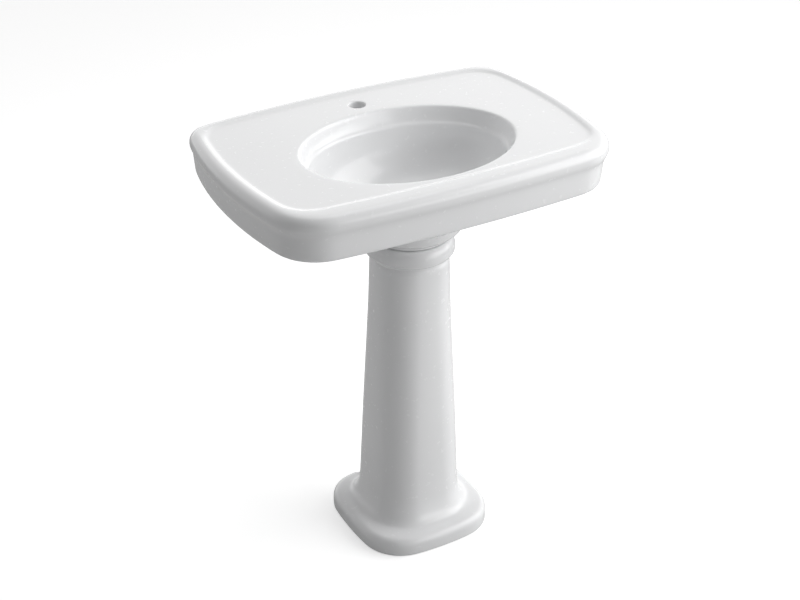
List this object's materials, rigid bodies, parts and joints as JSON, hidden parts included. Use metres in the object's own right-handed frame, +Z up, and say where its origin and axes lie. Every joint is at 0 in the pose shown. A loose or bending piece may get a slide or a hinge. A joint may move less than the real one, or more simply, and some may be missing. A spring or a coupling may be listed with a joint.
{
  "type": "pedestal sink",
  "caption": "Pedestal sink: wide rounded basin with a rolled rim, oval bowl, push-button drain and one faucet hole on a flared hollow pedestal.",
  "frame": {"origin": "on the floor, under the centre of the basin's outline; the wall plane is at y = +0.267 m", "axes": "+Z up; +Y towards the wall; +X to the right of a person who stands in front of the sink and faces it"},
  "size_m": [0.775, 0.5339, 0.892],
  "materials": {
    "china": "glossy",
    "chrome": "polished",
    "brass": "machined",
    "steel": "drawn wire",
    "rubber": "matte",
    "grey_rubber": "matte",
    "black_plastic": "matte",
    "white_plastic": "matte"
  },
  "bodies": {
    "sink": {"basin": "china", "pedestal": "china", "seat_pads": "grey_rubber", "drain_body": "chrome", "flange_gasket": "rubber", "stopper_spring": "steel", "stopper_cartridge": "black_plastic", "tapered_gasket": "rubber", "friction_washer": "white_plastic", "drain_locknut": "brass", "tailpiece": "chrome", "trap_inlet_nut": "chrome", "trap_inlet_washer": "white_plastic", "trap_bend": "chrome", "cleanout_plug": "chrome", "cleanout_gasket": "rubber", "trap_union_nut": "chrome", "trap_union_washer": "rubber", "trap_arm": "chrome"},
    "stopper": {"stopper_cap": "chrome", "stopper_seal": "rubber", "stopper_stem": "brass", "stopper_retainer": "brass"}
  },
  "joints": [
    {"name": "stopper_slide", "type": "slide", "parent": "sink", "child": "stopper", "axis": [0, 0, 1], "range_m": [-0.0078, 0], "stiffness_N_per_m": 300, "springref_m": 0.01, "deforming": ["stopper_spring"]}
  ]
}
